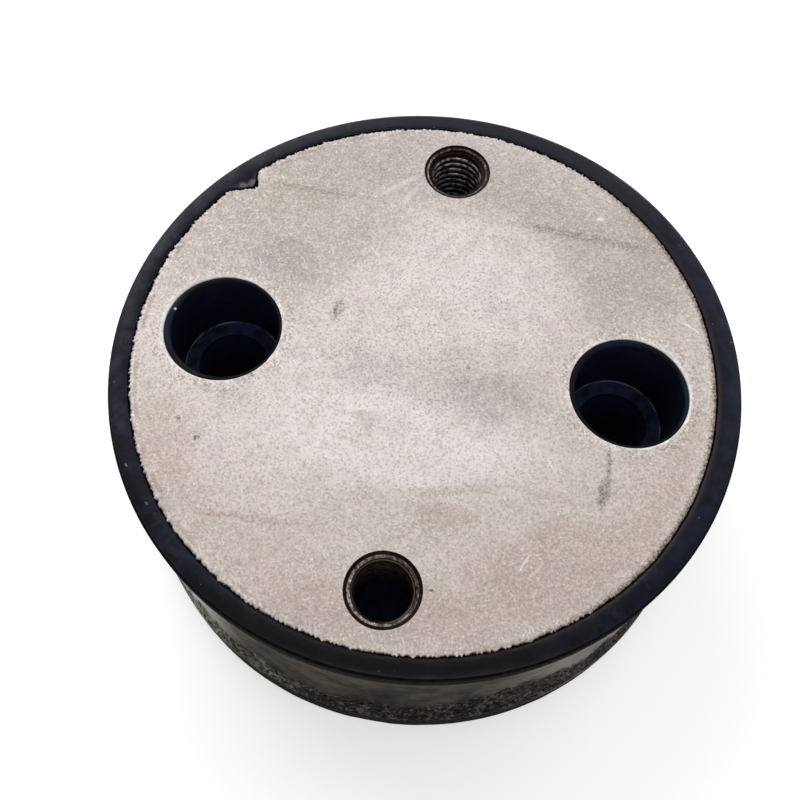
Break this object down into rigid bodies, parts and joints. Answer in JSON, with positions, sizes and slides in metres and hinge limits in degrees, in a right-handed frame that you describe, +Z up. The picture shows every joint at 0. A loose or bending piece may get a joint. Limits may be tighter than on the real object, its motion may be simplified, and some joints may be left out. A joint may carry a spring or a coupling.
{
  "type": "rubber damper block",
  "caption": "Round rubber-bonded damper block with steel end plates, a waisted black rubber body, tapped holes and stepped bolt bores.",
  "frame": {"origin": "centre of the base face, on the surface that the block stands on", "axes": "+Z up along the block's axis, +X through the two stepped bores, +Y through the two tapped holes"},
  "size_m": [0.1234, 0.1234, 0.049],
  "materials": {
    "plate_steel": "shot-blasted, matt, lightly stained",
    "rubber": "moulded, matt black, dusty on the wall"
  },
  "bodies": {
    "root": {"top_plate": "plate_steel", "rubber_body": "rubber", "base_plate": "plate_steel"}
  },
  "joints": []
}
